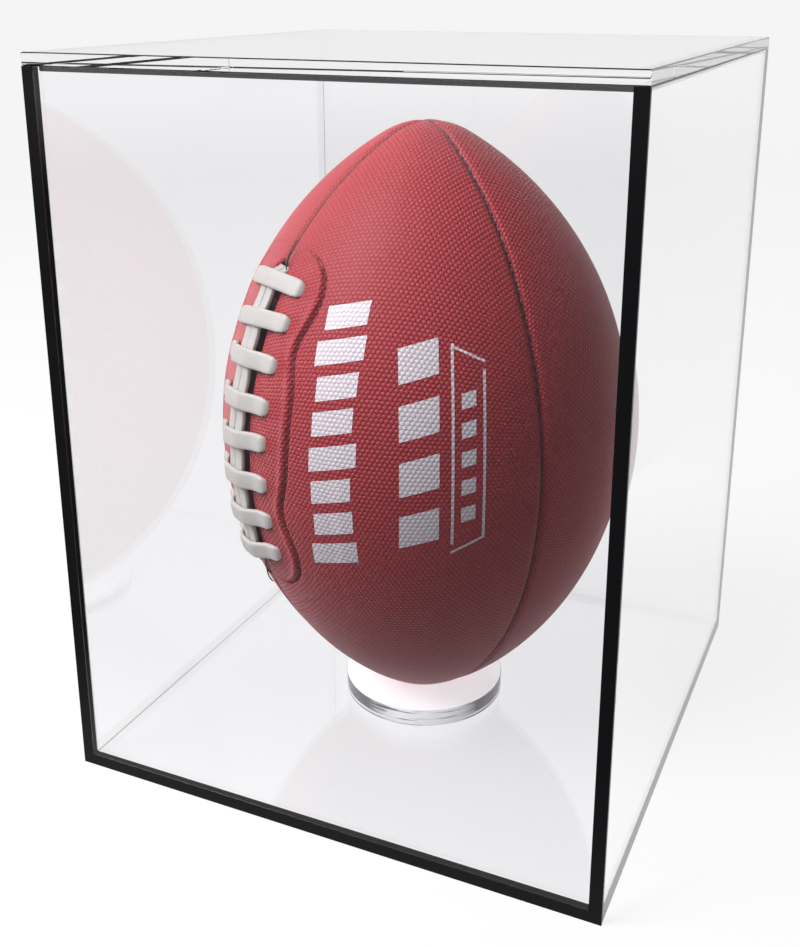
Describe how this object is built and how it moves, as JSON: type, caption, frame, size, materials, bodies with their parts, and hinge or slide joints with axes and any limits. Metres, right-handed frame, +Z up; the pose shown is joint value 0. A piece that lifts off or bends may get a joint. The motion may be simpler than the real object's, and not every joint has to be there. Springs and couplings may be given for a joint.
{
  "type": "football display case",
  "caption": "Square clear display case with a lift-off lid, black-edged front and a low ring stand that holds a laced football upright on its tip.",
  "frame": {"origin": "centre of the case's underside, on the surface it stands on", "axes": "+Z up, -Y is the front with the black edging, +X to the right seen from the front"},
  "size_m": [0.23, 0.23, 0.3],
  "materials": {
    "clear_acrylic": "clear cast acrylic, polished",
    "black_edging": "gloss black acrylic strip",
    "cover_leather": "pebbled oxblood composite leather",
    "white_lace": "matte white flat lace",
    "tongue_leather": "matte dark leather",
    "bladder_rubber": "matte black butyl",
    "valve_rubber": "matte black rubber"
  },
  "bodies": {
    "case": {"base_panel": "clear_acrylic", "left_wall": "clear_acrylic", "right_wall": "clear_acrylic", "front_wall": "clear_acrylic", "back_wall": "clear_acrylic", "edging_left": "black_edging", "edging_right": "black_edging", "edging_base": "black_edging", "ring_stand": "clear_acrylic"},
    "lid": {"lid_plate": "clear_acrylic", "lid_locating_plate": "clear_acrylic", "edging_lid": "black_edging"},
    "ball": {"ball_panel_front": "cover_leather", "ball_panel_right": "cover_leather", "ball_panel_back": "cover_leather", "ball_panel_left": "cover_leather", "cross_laces": "white_lace", "long_laces": "white_lace", "lace_tongue": "tongue_leather", "ball_bladder": "bladder_rubber", "ball_valve": "valve_rubber"}
  },
  "joints": [
    {"name": "lid_lift", "type": "slide", "parent": "case", "child": "lid", "axis": [0, 0, 1], "range_m": [0, 0.3]},
    {"name": "ball_turn", "type": "hinge", "parent": "case", "child": "ball", "pos_m": [-0.0025, -0.0015, 0], "axis": [0, 0, 1], "continuous": true}
  ]
}
